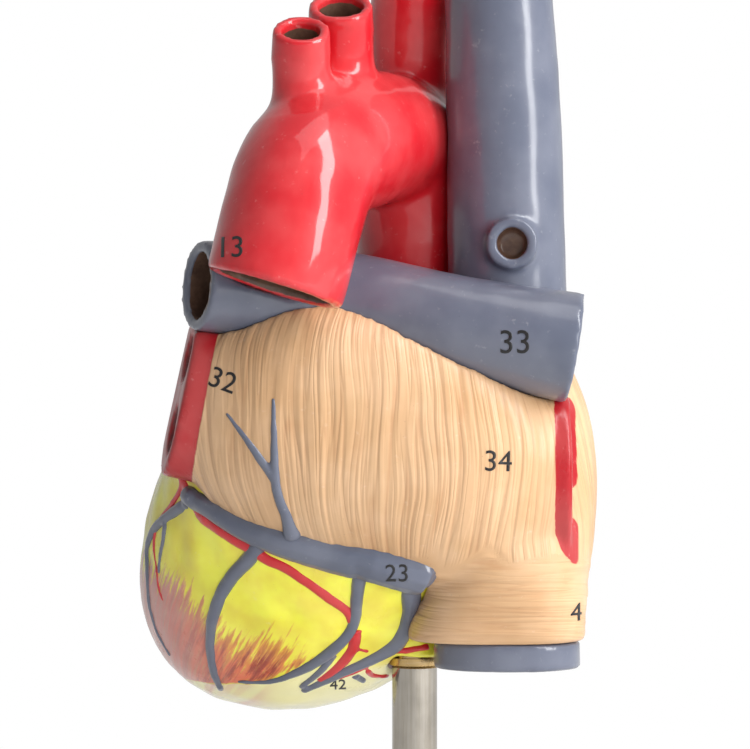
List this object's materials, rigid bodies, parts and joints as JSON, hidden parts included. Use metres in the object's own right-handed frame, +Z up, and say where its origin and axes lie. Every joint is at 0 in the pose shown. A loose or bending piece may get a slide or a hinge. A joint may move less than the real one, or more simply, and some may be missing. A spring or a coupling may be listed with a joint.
{
  "type": "human heart anatomy model",
  "caption": "Life-size two-part teaching model of the human heart with painted vessels; the front wall pulls off to show both ventricles and the heart lifts and turns on a rod stand.",
  "frame": {"origin": "centre of the stand's underside, on the rod's axis", "axes": "+Z up along the rod; -Y towards the back of the heart (left atrium, descending aorta); +X towards the patient's right"},
  "size_m": [0.1214, 0.1061, 0.2419],
  "materials": {
    "stand_plastic": "moulded white ABS with a soft gloss",
    "ballast_steel": "plain zinc-plated steel plate",
    "foam_pad": "fine-cell black foam",
    "rod_steel": "ground stainless bar",
    "fixing_steel": "zinc-plated",
    "sleeve_brass": "turned brass",
    "muscle_pvc": "hand-painted PVC: yellow fat and red-brown muscle under gloss varnish",
    "chamber_pvc": "hand-painted PVC, chamber lining",
    "artery_pvc": "red painted PVC under gloss varnish",
    "vein_pvc": "blue-grey painted PVC under gloss varnish",
    "atrium_pvc": "beige painted PVC with moulded fibres",
    "auricle_pvc": "red-brown painted PVC",
    "valve_pvc": "ivory painted PVC",
    "magnet": "nickel-plated"
  },
  "bodies": {
    "stand": {"base_shell": "stand_plastic", "base_plate": "ballast_steel", "base_pad": "foam_pad", "stand_rod": "rod_steel", "rod_washer": "fixing_steel", "rod_screw": "fixing_steel"},
    "sleeve": {"socket_sleeve": "sleeve_brass"},
    "heart": {"ventricles_rear_half": "muscle_pvc", "rear_magnets": "magnet", "aorta": "artery_pvc", "pulmonary_arteries": "vein_pvc", "left_atrium": "atrium_pvc", "right_atrium": "atrium_pvc", "superior_vena_cava": "vein_pvc", "left_pulmonary_veins": "artery_pvc", "right_pulmonary_veins": "artery_pvc", "inferior_vena_cava": "vein_pvc", "left_auricle": "auricle_pvc", "right_auricle": "auricle_pvc", "mitral_valve": "valve_pvc", "tricuspid_valve": "valve_pvc", "aortic_valve": "valve_pvc", "pulmonary_valve": "valve_pvc", "left_papillary_muscles": "chamber_pvc", "right_papillary_muscles": "chamber_pvc", "left_tendinous_cords": "valve_pvc", "right_tendinous_cords": "valve_pvc", "coronary_sinus": "vein_pvc", "left_atrial_vein": "vein_pvc", "left_ventricular_vein": "vein_pvc", "posterior_ventricular_vein": "vein_pvc", "middle_cardiac_vein": "vein_pvc", "left_marginal_vein": "vein_pvc", "circumflex_artery": "artery_pvc", "posterior_descending_artery": "artery_pvc", "right_coronary_artery": "artery_pvc"},
    "front_wall": {"front_wall": "muscle_pvc", "front_magnets": "magnet", "anterior_descending_artery": "artery_pvc", "great_cardiac_vein": "vein_pvc", "diagonal_artery": "artery_pvc", "right_marginal_artery": "artery_pvc", "anterior_cardiac_vein": "vein_pvc"}
  },
  "joints": [
    {"name": "heart_lift", "type": "slide", "parent": "stand", "child": "sleeve", "axis": [0, 0, 1], "range_m": [0, 0.05]},
    {"name": "heart_turn", "type": "hinge", "parent": "sleeve", "child": "heart", "pos_m": [0, 0, 0.1], "axis": [0, 0, 1], "continuous": true},
    {"name": "front_wall_off", "type": "slide", "parent": "heart", "child": "front_wall", "axis": [0, 0.848, 0.5299], "range_m": [0, 0.08]}
  ]
}
